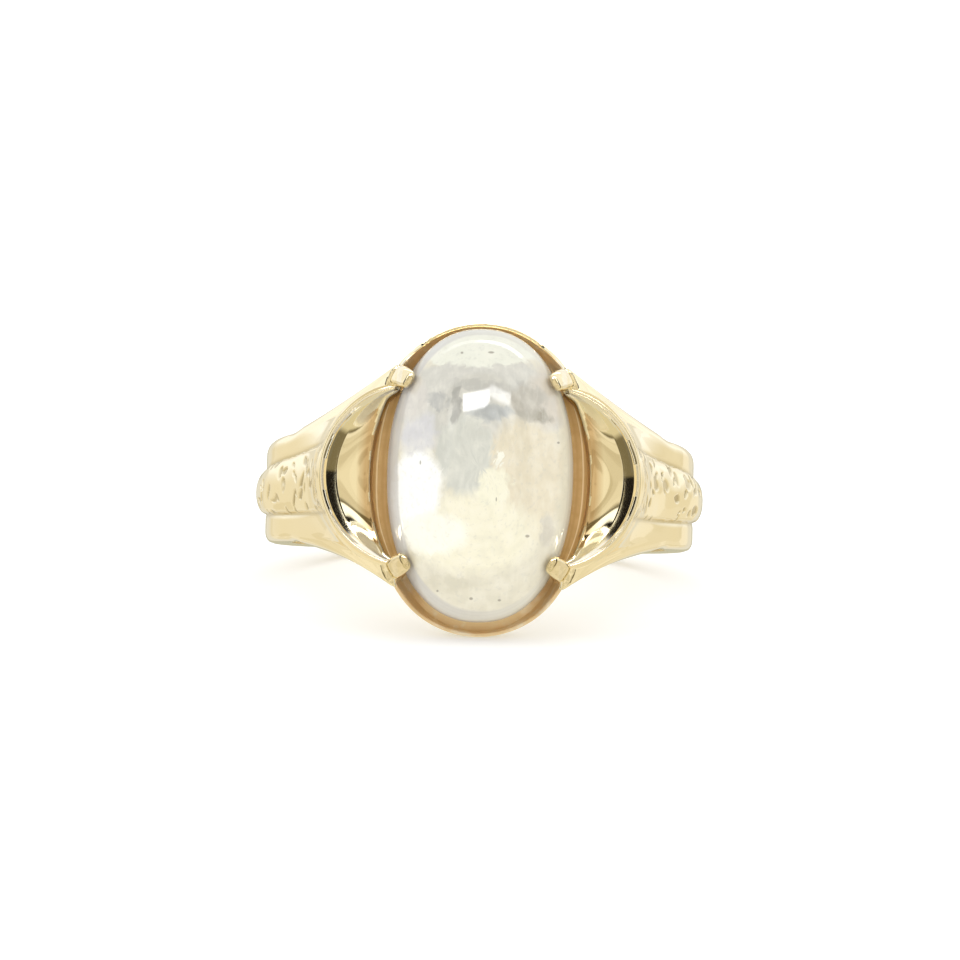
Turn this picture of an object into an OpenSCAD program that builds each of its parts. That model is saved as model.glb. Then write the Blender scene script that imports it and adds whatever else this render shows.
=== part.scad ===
// Yellow gold ring set with an oval moonstone cabochon.
// Every module builds the ring upright: x across the finger, y along the finger, z up to the stone,
// with the middle of the finger hole at the origin. lying() then lays it on its side, as it rests.

/* [Finger hole and shank] */
// Radius of the finger hole
hole_r = 8.6; // [7.5:0.1:10.5]
// Metal from the hole to the polished rails
rail_t = 1.25; // [1.1:0.05:1.7]
// Height of the textured band above the rails at the sides
band_rise = 0.45; // [0.2:0.05:0.5]
// Half the width of the textured band at the sides
band_half = 0.85; // [0.5:0.05:1]
// Half the width of the shank at the back of the finger
back_half = 1.45; // [1.2:0.05:1.8]
// Half the width of the shank at its sides
side_half = 2.25; // [2:0.05:2.7]
// Angle from the stone, round the finger, at which the shoulders leave the shank
shoulder_a = 64; // [58:1:70]
// How far each edge of the shank is rounded down
edge_drop = 0.4; // [0.1:0.05:0.5]
// Half the width of the textured band where it flares out below the crescents
flare_half = 1.6; // [1.2:0.05:2]
// Depth of the dents in the textured band
dent_d = 0.24; // [0:0.02:0.3]

/* [Stone] */
// Half the width of the stone, across the finger
stone_a = 4.1; // [3.8:0.05:4.3]
// Half the length of the stone, along the finger
stone_b = 6.47; // [6:0.01:6.6]
// How full the stone's outline is: 2 is a plain oval
stone_full = 2.2; // [2:0.05:2.4]
// Height of the stone's flat base
stone_z = 10; // [9.9:0.05:10.2]
// Height of the girdle above the base
girdle_h = 0.7; // [0.4:0.05:0.9]
// Height of the dome above the girdle
dome_h = 3.9; // [3:0.1:4.2]
// Gap between the stone and its seat
seat_gap = 0.05; // [0.02:0.01:0.1]
// How far the stone is set towards the upper lip
stone_shift = 0.12; // [0:0.02:0.14]

/* [Head] */
// Radius of each crescent's rim
crescent_r = 4.06; // [3.9:0.02:4.2]
// Distance from the middle of the stone to the middle of that rim's circle
crescent_c = 3; // [2.9:0.02:3.2]
// Radius of each lip, beyond the ends of the stone
lip_r = 4.3; // [4.2:0.05:4.8]
// Distance from the middle of the stone to the middle of the lip's circle
lip_c = 2.65; // [2.2:0.05:2.7]
// Height of the crescent rims
crescent_z = 11.3; // [11:0.1:11.8]
// Height of the rim at the claws
claw_base_z = 11.5; // [11.2:0.1:12]
// Height of the lips
lip_z = 10.15; // [9.9:0.05:10.6]
// Thickness of the rim's edge
rim_t = 0.18; // [0.15:0.01:0.3]
// Part of a scoop's width that is its floor; the rest is the wall up to its rim
floor_part = 0.7; // [0.45:0.01:0.8]
// Slope of that wall
wall_slope = 28; // [20:1:40]
// Slope of the scoop's floor at its middle
floor_slope = 8; // [0:1:20]
// Slope of the scoop's floor beside the claws
floor_end_slope = 32; // [20:1:45]
// Sag of the floor's middle
floor_sag = 0.05; // [0:0.01:0.1]
// Width of the seat's open ledge beside each crescent
ledge_w = 0.65; // [0.4:0.05:0.8]
// Width of the ledge that the stone stands on
bearing_w = 0.75; // [0.5:0.05:1]
// Half the width of the hole behind the stone, across the finger
gallery_a = 2.7; // [2:0.1:3]
// Half the length of the hole behind the stone, along the finger
gallery_b = 3.8; // [3:0.1:4.2]

/* [Hidden] */

gold = [0.85, 0.73, 0.47];
milk = [0.92, 0.93, 0.92];

rail_r = hole_r + rail_t;
band_r = rail_r + band_rise;
core_r = hole_r - 0.4;             // the casting is solid to here, and the finger hole is cut after
seat_z = stone_z - seat_gap;
over = 0.1;                        // the shoulders and the bowl rise this far past the rim, and are trimmed
root_z = 6.2;                      // the head's root, which the finger hole's cut takes away
clear_z = 16;                      // above everything that is trimmed

// Plan of the rim in one quarter: the crescent's arc, the claw's foot, then the lip's arc.
foot_in = [3.8, 3.97];
foot_out = [3.69, 4.85];
foot_in_a = atan2(foot_in.y, foot_in.x);
foot_out_a = atan2(foot_out.y, foot_out.x);
claw_a = 50.5;
lip_fall = 18;                     // the rim comes down to the lip within this angle
lip_margin = 0.17;                 // from the stone to the seat's outer edge at the lips
step_w = 0.12;                     // how far the scoop's step leans out
lip_sink = 0.3;                    // how far below the seat the slope of the lips starts
bowl_inset = 0.3;                  // the bowl stays this far inside the shoulders

// Side view of the shoulder, in x and z: its middle line and its edge, each as a cubic curve.
shoulder_start = rail_r * [sin(shoulder_a), cos(shoulder_a)];
shoulder_dir = [-cos(shoulder_a), sin(shoulder_a)];
crescent_x = crescent_c + crescent_r;
middle_line = [shoulder_start, shoulder_start + 2.6 * shoulder_dir,
               [crescent_x + 0.05, crescent_z - 2.4], [crescent_x, crescent_z + over]];
edge_line = [shoulder_start, shoulder_start + 1.9 * shoulder_dir,
             [6.45, claw_base_z - 0.9], [foot_out.x, claw_base_z + over]];

back_steps = 23;
shoulder_steps = 24;

// The head's oval neck at the finger hole, and the section of its wall from there (0) to the rim
// (1): part of the way out, part of the way up.
neck_a = 5.2;
neck_b = 4.7;
bowl = [[0, 0], [0.5, 0.1], [0.8, 0.28], [0.95, 0.55], [1, 1]];
bowl_belly = bowl[3];

// How the ring rests on its side: on the belly of the lower lip, and on the two lower edges of the
// shank's back. Each is [distance from the middle along the finger, height].
rest_a = 166;                       // where the back of the shank touches, round the finger
lip_y = lip_c + lip_r;
lip_rest = [mix(neck_b, lip_y, bowl_belly[0]), mix(hole_r, lip_z + over, bowl_belly[1])];
back_rest = [shank_half(rest_a), (rail_r - edge_drop) * cos(rest_a)];
rest_tilt = atan((lip_rest.x - back_rest.x) / (lip_rest.y - back_rest.y));

function mix(a, b, t) = a + (b - a) * t;
function smooth(t) = t < 0 ? 0 : t > 1 ? 1 : t * t * (3 - 2 * t);
function cubic(p, t) =
    pow(1 - t, 3) * p[0] + 3 * pow(1 - t, 2) * t * p[1] + 3 * (1 - t) * t * t * p[2] + pow(t, 3) * p[3];
function cubic_dir(p, t) =
    pow(1 - t, 2) * (p[1] - p[0]) + 2 * (1 - t) * t * (p[2] - p[1]) + t * t * (p[3] - p[2]);
function shank_half(a) = mix(back_half, side_half, pow((180 - a) / 90, 0.85));

// Half the width of the ring seen from above, where the shoulder's edge has come in to x. It is
// fully flared a little before the rim.
flared_x = 4.2;
function shoulder_half(x) =
    mix(side_half + 0.05, foot_out.y, pow(max(0, min(1, (rail_r - x) / (rail_r - flared_x))), 1.6));

// Plan of the crescent's rim: x for each distance y along the finger.
function rim_x(y) = y < foot_in.y
    ? crescent_c + sqrt(max(0, crescent_r * crescent_r - y * y))
    : mix(foot_in.x, foot_out.x, (y - foot_in.y) / (foot_out.y - foot_in.y));
function bow(v) = (crescent_x - rim_x(abs(v) * foot_out.y)) / (crescent_x - foot_out.x);

// One station round the ring: [middle point, edge point, outward direction, half-width, part of
// the way up the shoulder, rise of the band]. The band fades out towards the back of the finger.
function shank_station(a) =
    [rail_r * [sin(a), cos(a)], rail_r * [sin(a), cos(a)], [sin(a), cos(a)], shank_half(a), 0,
     band_rise * smooth((160 - a) / 50)];
function shoulder_station(t) = let (
    d = cubic_dir(middle_line, t),
    e = cubic(edge_line, t)
) [cubic(middle_line, t), e, [d.y, -d.x] / norm(d),
   mix(shank_half(shoulder_a), shoulder_half(e.x), smooth(t * 4)), t,
   mix(band_rise, 0.15, smooth(t)) * smooth((1 - t) * 12)];

half_run = concat(
    [for (i = [0 : back_steps - 1]) shank_station(mix(180, shoulder_a, i / back_steps))],
    [for (i = [0 : shoulder_steps]) shoulder_station(i / shoulder_steps)]);
stations = concat(
    [for (i = [len(half_run) - 1 : -1 : 1]) [-1, half_run[i]]],
    [for (s = half_run) [1, s]]);

// Places across the ring from one edge to the other. The inner ones are in half-widths of the
// band, the outer ones from the band's foot (0) to the ring's edge (1).
band_cols = [-1, -0.8, -0.45, -0.15, 0.15, 0.45, 0.8, 1];
band_dome = 0.93;                   // 0 is a flat band, 1 a half-round one
rail_cols = [0.12, 0.36, 0.6, 0.82, 0.94, 1];
rail_drop = [0, 0, 0, 0.12, 0.45, 1];

dents = rands(-1, 0, len(stations) * len(band_cols), 7);

// Half the width of the band, which flares from the sides of the ring up to the crescents.
function band_w(s) =
    mix(band_half, flare_half, pow(max(0, s[0].y) / (crescent_z + over), 0.8)) * min(1, s[3] / side_half);

// A row of points across the ring at one station, on its outer skin.
function skin_row(k) = let (
    side = stations[k][0],
    s = stations[k][1],
    w = s[3],
    b = band_w(s),
    up = s[5],
    left = [for (i = [len(rail_cols) - 1 : -1 : 0])
        [-mix(b, w, rail_cols[i]), -edge_drop * rail_drop[i]]],
    middle = [for (i = [0 : len(band_cols) - 1])
        [b * band_cols[i],
         up * sqrt(1 - band_dome * pow(band_cols[i], 2))
         + (abs(band_cols[i]) == 1 ? 0 : dent_d * up / band_rise * dents[k * len(band_cols) + i])]],
    right = [for (i = [0 : len(rail_cols) - 1])
        [mix(b, w, rail_cols[i]), -edge_drop * rail_drop[i]]]
) [for (p = concat(left, middle, right)) let (
    q = mix(s[0], s[1], bow(p[0] / w)) + p[1] * s[2]
) [side * q.x, p[0], q.y]];

// The ring's two side walls and its inner side at the same station, brought in to the core. Each
// wall drops from the edge, bulging a little on the shoulders, then comes in under them.
wall_part = 0.4;
wall_bulge = 0.2;
function core_row(k) = let (
    side = stations[k][0],
    s = stations[k][1],
    w = s[3],
    inner = w - 0.1 - 0.6 * s[4],
    belly = w + wall_bulge * sin(180 * s[4]),
    core = [for (v = [1, 0.4, -0.4, -1]) let (
        q = mix(s[0], s[1], bow(v)),
        a = atan2(q.x, q.y)
    ) [core_r * sin(a), v * inner, core_r * cos(a)]],
    wall = mix(s[1] - edge_drop * s[2], [core[0].x, core[0].z], wall_part)
) [for (p = concat([[wall.x, belly, wall.y]], core, [[wall.x, -belly, wall.y]])) [side * p.x, p.y, p.z]];

function reversed(v) = [for (i = [len(v) - 1 : -1 : 0]) v[i]];
function middle(points) = [for (c = [0 : 2]) let (v = [for (p = points) p[c]]) (max(v) + min(v)) / 2];

// A closed solid from a list of loops of n points each. Each end is closed by a fan about its middle.
module loft(loops) {
    n = len(loops[0]);
    m = len(loops);
    ends = [loops[0], loops[m - 1]];
    sides = [for (i = [0 : m - 2], j = [0 : n - 1]) let (
        a = i * n + j, b = i * n + (j + 1) % n
    ) each [[a, b + n, b], [a, a + n, b + n]]];
    fans = [for (j = [0 : n - 1]) let (
        k = (j + 1) % n, last = (m - 1) * n
    ) each [[j, k, n * m], [last + k, last + j, n * m + 1]]];
    polyhedron(concat([for (l = loops) each l], [for (e = ends) middle(e)]), concat(sides, fans));
}

module shank_blank() {
    loft([for (k = [0 : len(stations) - 1]) concat(skin_row(k), core_row(k))]);
}

// Angle folded into one quarter of the oval, from 0 at the crescents to 90 at the lips.
function quarter(a) = atan2(abs(sin(a)), abs(cos(a)));
function oval_r(a, p, q) =
    pow(pow(abs(cos(a)) / p, stone_full) + pow(abs(sin(a)) / q, stone_full), -1 / stone_full);
function arc_r(c, r, t) = c * cos(t) + sqrt(r * r - pow(c * sin(t), 2));
function rim_r(a) = let (q = quarter(a))
    q < foot_in_a ? arc_r(crescent_c, crescent_r, q)
    : q < foot_out_a ? mix(norm(foot_in), norm(foot_out), (q - foot_in_a) / (foot_out_a - foot_in_a))
    : arc_r(lip_c, lip_r, 90 - q);
function rim_z(a) = let (q = quarter(a))
    q < claw_a ? mix(crescent_z, claw_base_z, pow(q / claw_a, 2))
    : mix(claw_base_z, lip_z, smooth((q - claw_a) / lip_fall));

// Each is 1 over the crescents and 0 over the lips: the depth of the scoops changes behind the claws,
// and the ledge narrows before them.
function crescent_part(a) = 1 - smooth((quarter(a) - 46) / 8);
function ledge_part(a) = 1 - smooth((quarter(a) - 38) / 10);

// One loop round the stone, from a function's [radius, height] at each angle. The angles of a
// quarter lie closer at the claws. The body's loops are turned a little from the cutter's, so that
// no edge of one crosses an edge of the other.
body_turn = 0.6;
quarter_angles = [0, 6, 12, 18, 24, 30, 35, 39, 42.5, 46, 49.5, 53, 56, 59, 63, 68, 74, 80, 85];
round_angles = concat(
    quarter_angles, [90],
    reversed([for (a = quarter_angles) 180 - a]),
    [for (a = quarter_angles) if (a > 0) 180 + a], [270],
    reversed([for (a = quarter_angles) if (a > 0) 360 - a]));
function ring_of(f, turn = 0) =
    [for (b = round_angles) let (a = b + turn, p = f(a)) [p[0] * cos(a), p[0] * sin(a), p[1]]];

// Solid body of the head, flared like a bowl.
module head_blank() {
    neck = function (a) oval_r(a, neck_a, neck_b);
    loft([
        ring_of(function (a) [neck(a), root_z], body_turn),
        for (p = bowl) ring_of(function (a) [
            mix(neck(a), rim_r(a), p[0]) - bowl_inset * crescent_part(a),
            mix(hole_r, rim_z(a) + over, p[1])],
            body_turn),
        ring_of(function (a) [rim_r(a), claw_base_z + 0.2], body_turn)]);
}

// The seat's outer edge: wide beside the crescents, close to the stone at the claws and lips.
function seat_r(a) =
    oval_r(a, stone_a, stone_b) + mix(lip_margin, ledge_w, ledge_part(a) * pow(cos(quarter(a)), 2));

// [radius, height] of the head's top, from the seat's step (u = 0) to the rim (u = 1). Beside the
// crescents it is a floor and a steeper wall; at the lips it is one straight slope.
function scoop_at(a, u) = let (
    r0 = seat_r(a) + step_w * ledge_part(a),
    r1 = rim_r(a) - rim_t,
    wide = r1 - r0,
    crease_z = rim_z(a) - (1 - floor_part) * wide * tan(wall_slope),
    slope = mix(floor_slope, floor_end_slope, smooth(quarter(a) / 40)),
    floor_z = crease_z - (floor_part - u) * wide * tan(slope) - floor_sag * sin(180 * u / floor_part),
    wall_z = mix(crease_z, rim_z(a), (u - floor_part) / (1 - floor_part)),
    lip_slope_z = mix(seat_z - lip_sink, rim_z(a), u)
) [mix(r0, r1, u), mix(lip_slope_z, u < floor_part ? floor_z : wall_z, crescent_part(a))];

// Everything above the finished top of the head: gallery hole, seat, scoops and rim.
module head_cutter() {
    loft([
        ring_of(function (a) [oval_r(a, gallery_a, gallery_b), root_z - 0.2]),
        ring_of(function (a) [oval_r(a, gallery_a, gallery_b), hole_r]),
        ring_of(function (a) [oval_r(a, stone_a - bearing_w, stone_b - bearing_w), seat_z]),
        ring_of(function (a) [seat_r(a), mix(seat_z - lip_sink, seat_z, crescent_part(a))]),
        for (u = [0, 0.33, 0.67, 1]) ring_of(function (a) scoop_at(a, u * floor_part)),
        for (u = [0.5, 1]) ring_of(function (a) scoop_at(a, mix(floor_part, 1, u))),
        ring_of(function (a) [rim_r(a) + 1, rim_z(a)]),
        ring_of(function (a) [rim_r(a) + 1, clear_z])]);
}

// A claw, from its foot in the rim to its tip over the stone: [distance out from the stone's edge,
// height, half-width, half-depth]. It stands square to that edge.
claw_path = [[0.4, 10.1, 0.42, 0.18], [0.43, 11.1, 0.46, 0.19], [0.41, 11.5, 0.47, 0.23],
             [0.24, 11.92, 0.47, 0.27], [0.08, 12.18, 0.46, 0.26], [-0.09, 12.4, 0.43, 0.22],
             [-0.26, 12.55, 0.32, 0.14]];
claw_turn = 30;
claw_sides = 12;

module claw() {
    foot = oval_r(claw_a, stone_a, stone_b) * [cos(claw_a), sin(claw_a)];
    translate(foot)
        rotate([0, 0, claw_turn]) loft([for (i = [0 : len(claw_path) - 1]) let (
        p = claw_path[i],
        d = claw_path[min(i + 1, len(claw_path) - 1)] - claw_path[max(i - 1, 0)],
        run = [d[0], d[1]] / norm([d[0], d[1]])
    ) [for (j = [0 : claw_sides - 1]) let (
        a = 360 * j / claw_sides
    ) [p[0] + p[3] * cos(a) * run[1], p[2] * sin(a), p[1] - p[3] * cos(a) * run[0]]]]);
}

module casting() {
    difference() {
        union() {
            head_blank();
            shank_blank();
        }
        head_cutter();
    }
    translate([0, stone_shift, 0])
        for (mx = [0, 1], my = [0, 1]) mirror([mx, 0, 0]) mirror([0, my, 0]) claw();
}

module lying() {
    rotate([90 - rest_tilt, 0, 0]) children();
}

module ring_mount() {
    color(gold) lying() difference() {
        resize([2 * band_r, 0, 0]) casting();
        rotate([90, 0, 0]) cylinder(h = 20, r = hole_r, center = true, $fn = 128);
    }
}

// The cabochon, in oval loops from its bevelled base over the girdle to the top of the dome:
// [part of the full size, height above the base].
module moonstone() {
    dome = [for (a = [0, 8, 16, 24, 33, 42, 51, 60, 69, 78, 85]) [cos(a), girdle_h + dome_h * sin(a)]];
    outline = concat([[0.93, 0], [0.99, girdle_h * 0.55]], dome);
    color(milk) lying() translate([0, stone_shift, stone_z]) loft([for (p = outline)
        ring_of(function (a) [p[0] * oval_r(a, stone_a, stone_b), p[1]])]);
}

ring_mount();
moonstone();
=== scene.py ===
# Moonstone ring: the looks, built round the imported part.
# Shapes are worked out upright in millimetres (x across the finger, y along it, z up to the stone,
# the middle of the finger hole at 0) and laid on their side in metres at the end.
import math
import time

import bpy
import numpy as np
from mathutils import Matrix, Vector


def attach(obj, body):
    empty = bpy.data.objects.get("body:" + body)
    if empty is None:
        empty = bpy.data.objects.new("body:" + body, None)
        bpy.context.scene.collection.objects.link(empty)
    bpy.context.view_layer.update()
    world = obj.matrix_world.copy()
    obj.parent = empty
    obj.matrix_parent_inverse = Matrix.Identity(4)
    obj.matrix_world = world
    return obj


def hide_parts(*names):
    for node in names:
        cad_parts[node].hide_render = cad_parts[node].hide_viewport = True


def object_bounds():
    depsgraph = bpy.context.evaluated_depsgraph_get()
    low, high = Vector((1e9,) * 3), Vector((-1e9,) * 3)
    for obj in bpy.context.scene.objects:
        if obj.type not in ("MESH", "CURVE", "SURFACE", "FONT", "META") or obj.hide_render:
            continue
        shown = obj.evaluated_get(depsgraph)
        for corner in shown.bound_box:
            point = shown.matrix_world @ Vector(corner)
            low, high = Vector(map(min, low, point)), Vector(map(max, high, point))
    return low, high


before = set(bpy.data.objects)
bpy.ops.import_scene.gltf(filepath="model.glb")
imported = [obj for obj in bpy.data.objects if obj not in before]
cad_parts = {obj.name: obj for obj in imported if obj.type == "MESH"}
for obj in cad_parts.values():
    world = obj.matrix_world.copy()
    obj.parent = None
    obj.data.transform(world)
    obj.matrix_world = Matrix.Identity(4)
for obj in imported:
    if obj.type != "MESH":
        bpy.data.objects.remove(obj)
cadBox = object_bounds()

started = time.time()


def report(words):
    print(f"{words}: {time.time() - started:.1f} s")


# small sums on whole arrays

def mix(a, b, t):
    return a + (b - a) * t


def smooth(t):  # 3t^2 - 2t^3, held at 0 and 1
    t = np.clip(t, 0, 1)
    return t * t * (3 - 2 * t)


def cubic(p, t):  # Bezier curve through four points
    t = np.asarray(t)[..., None]
    p = np.asarray(p, float)
    s = 1 - t
    return s ** 3 * p[0] + 3 * s ** 2 * t * p[1] + 3 * s * t * t * p[2] + t ** 3 * p[3]


def cubicRun(p, t):  # its direction, not scaled
    t = np.asarray(t)[..., None]
    p = np.asarray(p, float)
    return (1 - t) ** 2 * (p[1] - p[0]) + 2 * (1 - t) * t * (p[2] - p[1]) + t * t * (p[3] - p[2])


def scatter(a, b, seed):  # a repeatable number from 0 to 1 for each pair of whole numbers
    s = np.sin(a * 127.1 + b * 311.7 + seed * 74.7) * 43758.5453
    return s - np.floor(s)


def waves(u, v, seed):  # smooth noise from 0 to 1 on unit squares: their corners' numbers, blended
    a, b = np.floor(u), np.floor(v)
    s, t = smooth(u - a), smooth(v - b)
    low = mix(scatter(a, b, seed), scatter(a + 1, b, seed), s)
    high = mix(scatter(a, b + 1, seed), scatter(a + 1, b + 1, seed), s)
    return mix(low, high, t)


pitShape = {"half": (0.3, 0.58), "narrow": (0.32, 0.6), "deep": (0.55, 1), "without": 0.16,
            "end": 1.15, "side": 0.55}  # in squares, in parts of the length, and in half-widths


def pits(u, v, seed):
    # most unit squares hold one pit: an oval turned its own way, with steep sides and a flattened
    # bottom. 0 between the pits and up to 1 in them, by distance in half-lengths and half-widths.
    deepest = np.zeros(u.shape)
    for i in (-1, 0, 1):
        for j in (-1, 0, 1):
            a, b = np.floor(u) + i, np.floor(v) + j
            du, dv = a + scatter(a, b, seed) - u, b + scatter(a, b, seed + 1) - v
            turn = np.pi * scatter(a, b, seed + 2)
            half = mix(*pitShape["half"], scatter(a, b, seed + 3))
            width = half * mix(*pitShape["narrow"], scatter(a, b, seed + 4))
            p = (du * np.cos(turn) + dv * np.sin(turn)) / half
            q = (dv * np.cos(turn) - du * np.sin(turn)) / width
            own = mix(*pitShape["deep"], scatter(a, b, seed + 5))
            own = own * (scatter(a, b, seed + 6) > pitShape["without"])
            side = (pitShape["end"] - np.hypot(p, q)) / pitShape["side"]
            deepest = np.maximum(deepest, own * smooth(side))
    return deepest


# from arrays to meshes

def loftMesh(name, rows, values=None):
    # rows x columns x 3 points; each row closes on itself, and a fan about its middle closes each
    # end. The faces are turned round if the volume comes out negative.
    n, m = rows.shape[:2]
    i, j = np.meshgrid(np.arange(n - 1), np.arange(m), indexing="ij")
    a, b = i * m + j, i * m + (j + 1) % m
    quads = np.stack([a, b, b + m, a + m], -1).reshape(-1, 4)
    ends = np.array([(r.min(0) + r.max(0)) / 2 for r in (rows[0], rows[-1])])
    points = np.concatenate([rows.reshape(-1, 3), ends])
    k = np.arange(m)
    fans = np.concatenate([
        np.stack([(k + 1) % m, k, np.full(m, n * m)], 1),
        np.stack([(n - 1) * m + k, (n - 1) * m + (k + 1) % m, np.full(m, n * m + 1)], 1)])
    tris = np.concatenate([quads[:, [0, 1, 2]], quads[:, [0, 2, 3]], fans])
    p = points[tris]
    if np.einsum("ij,ij->i", p[:, 0], np.cross(p[:, 1], p[:, 2])).sum() < 0:
        quads, fans = quads[:, ::-1], fans[:, ::-1]
    mesh = bpy.data.meshes.new(name)
    mesh.from_pydata(points.tolist(), [], quads.tolist() + fans.tolist())
    if values is not None:
        layer = mesh.attributes.new("hollow", "FLOAT", "POINT")
        layer.data.foreach_set("value", np.append(values.ravel(), [0, 0]).astype(np.float32))
    piece = bpy.data.objects.new(name, mesh)
    bpy.context.scene.collection.objects.link(piece)
    return piece


def combine(body, tool, operation):  # Boolean of two closed meshes, applied
    step = body.modifiers.new("step", "BOOLEAN")
    step.object, step.operation, step.solver = tool, operation, "MANIFOLD"
    graph = bpy.context.evaluated_depsgraph_get()
    mesh = bpy.data.meshes.new_from_object(body.evaluated_get(graph))
    body.modifiers.clear()
    body.data = mesh
    bpy.data.objects.remove(tool)


def pointsOf(mesh):
    p = np.empty(len(mesh.vertices) * 3, np.float32)
    mesh.vertices.foreach_get("co", p)
    return p.reshape(-1, 3).astype(float)


restTilt = math.radians(15.624)  # how far the ring's face leans back as it lies
sightTilt = math.radians(4.876)  # how far off square the camera looks at that face


def layDown(piece, sharpAngle):
    # upright millimetres to the part's frame in metres, smooth except at edges sharper than the
    # angle; gives back the upright points
    p = pointsOf(piece.data)
    s, c = math.sin(restTilt), math.cos(restTilt)
    q = np.stack([p[:, 0], p[:, 1] * s - p[:, 2] * c, p[:, 1] * c + p[:, 2] * s], 1) * 0.001
    piece.data.vertices.foreach_set("co", q.astype(np.float32).ravel())
    piece.data.update()
    piece.data.shade_smooth()
    if sharpAngle:
        piece.data.set_sharp_from_angle(angle=math.radians(sharpAngle))
    return p


def attribute(piece, name, values):
    layer = piece.data.attributes.new(name, "FLOAT", "POINT")
    layer.data.foreach_set("value", np.asarray(values, np.float32))


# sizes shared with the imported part, in millimetres and degrees

hole = {"radius": 8.6, "coreRadius": 8.2, "sides": 256, "reach": 10, "rows": 21}
rim = {"crescentRadius": 4.06, "crescentMiddle": 3.0, "lipRadius": 4.3, "lipMiddle": 2.65,
       "crescentHeight": 11.3, "clawHeight": 11.5, "lipHeight": 10.15, "edge": 0.18,
       "footIn": (3.8, 3.97), "footOut": (3.69, 4.85), "clawAngle": 50.5, "lipFall": 18,
       "scoopEnd": (46, 8), "ledgeEnd": (38, 10)}  # where each begins to end, and over how much
stone = {"halfWidth": 4.1, "halfLength": 6.47, "full": 2.2, "shift": 0.12,
         "base": 10.0, "girdle": 0.7, "dome": 3.9, "rows": 90, "columns": 256, "topAngle": 89.3,
         "bevel": [(0.6, 0), (0.93, 0), (0.96, 0.12), (0.985, 0.34)]}  # part of the width, height
over = 0.1  # how far the bodies rise past the rim before they are trimmed
crescentX = rim["crescentMiddle"] + rim["crescentRadius"]


def ovalRadius(a, p, q):  # a little fuller than an ellipse, as the stone is
    n = stone["full"]
    return (np.abs(np.cos(a) / p) ** n + np.abs(np.sin(a) / q) ** n) ** (-1 / n)


def quarter(a):  # an angle round the stone, folded to 0 at the crescents and 90 at the lips
    return np.degrees(np.arctan2(np.abs(np.sin(a)), np.abs(np.cos(a))))


def rimRadius(a):  # crescent's arc, then the claw's foot, then the lip's arc
    q = quarter(a)
    t = np.radians(q)
    inner, outer = rim["footIn"], rim["footOut"]
    innerAngle, outerAngle = (math.degrees(math.atan2(p[1], p[0])) for p in (inner, outer))
    c, r = rim["crescentMiddle"], rim["crescentRadius"]
    crescent = c * np.cos(t) + np.sqrt(r * r - (c * np.sin(t)) ** 2)
    foot = mix(math.hypot(*inner), math.hypot(*outer), (q - innerAngle) / (outerAngle - innerAngle))
    c, r = rim["lipMiddle"], rim["lipRadius"]
    lip = c * np.sin(t) + np.sqrt(r * r - (c * np.cos(t)) ** 2)
    return np.where(q < innerAngle, crescent, np.where(q < outerAngle, foot, lip))


def rimHeight(a):  # rises from the crescent's middle to the claws, then falls to the lips
    q = quarter(a)
    up = mix(rim["crescentHeight"], rim["clawHeight"], (q / rim["clawAngle"]) ** 2)
    down = mix(rim["clawHeight"], rim["lipHeight"], smooth((q - rim["clawAngle"]) / rim["lipFall"]))
    return np.where(q < rim["clawAngle"], up, down)


def endingAt(a, end):  # 1 over the crescents, falling to 0 towards the lips
    return 1 - smooth((quarter(a) - end[0]) / end[1])


def crescentPart(a):  # the scoops' depth ends behind the claws
    return endingAt(a, rim["scoopEnd"])


def ledgePart(a):  # the ledge narrows before the claws
    return endingAt(a, rim["ledgeEnd"])


# shank, shoulders and the textured band

shank = {
    "railRadius": 9.85, "backHalf": 1.45, "sideHalf": 2.25, "taper": 0.85,
    "backAngle": 180, "sideAngle": 112, "shoulderAngle": 64,  # 0 at the stone
    # the shoulder's middle and edge curves: how far they start out straight, and the third of their
    # four points, by its x (from the crescent's own, or in all) and its depth below the rim
    "middleRun": 2.6, "middleTop": (0.05, 2.4), "edgeRun": 1.9, "edgeTop": (6.45, 0.9),
    "flaredX": 4.2, "widening": 0.05, "widenRate": 4, "flare": 1.6,
    "edgeDrop": 0.4, "roundFrom": 0.55, "roundOver": 0.45, "roundPower": 2.6,
    "coreInset": (0.1, 0.6), "wallDepth": 0.4, "wallCurve": (0.9, 0.15), "bulge": 0.26,
    "backSteps": 64, "sideSteps": 88, "shoulderSteps": 112,  # along the ring, on each side
    "bandColumns": 56, "railColumns": 18, "wallColumns": 13, "boreColumns": 8, "nearest": 0.04,
}
band = {
    "rise": 0.45, "endRise": 0.15, "endFade": 12, "startAngle": 160, "fadeAngle": 50,
    "half": 0.85, "flareHalf": 1.6, "flare": 0.8, "reach": 1.1, "dome": 0.93,
    "ragged": 0.07, "raggedScale": 1.9, "edge": 0.09,
    "pitSize": 0.72, "pitDepth": 0.088, "bend": 0.5, "bendScale": 2.1,
    "swell": 0.07, "swellSize": 0.95,
    # the groove beside the band: depth, width and place, then the strength of the painted shade that
    # darkens it, and the rise over which the painted shade in pits and groove sets in
    "groove": 0.035, "grooveWidth": 0.1, "grooveAt": 0.07, "grooveTint": 0.6, "tintRise": 0.1,
}


def shankHalf(a):  # half-width, growing from the back of the finger towards the shoulder
    return mix(shank["backHalf"], shank["sideHalf"], ((shank["backAngle"] - a) / 90) ** shank["taper"])


def rimX(y):  # plan of the rim over the crescent: x at each distance along the finger
    inner, outer = rim["footIn"], rim["footOut"]
    arc = rim["crescentMiddle"] + np.sqrt(np.maximum(0, rim["crescentRadius"] ** 2 - y * y))
    return np.where(y < inner[1], arc, mix(inner[0], outer[0], (y - inner[1]) / (outer[1] - inner[1])))


def bow(v):  # 0 at the middle of the shoulder, 1 at its edges, in the shape of the rim
    x = rimX(np.abs(v) * rim["footOut"][1])
    return (crescentX - x) / (crescentX - rim["footOut"][0])


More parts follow.
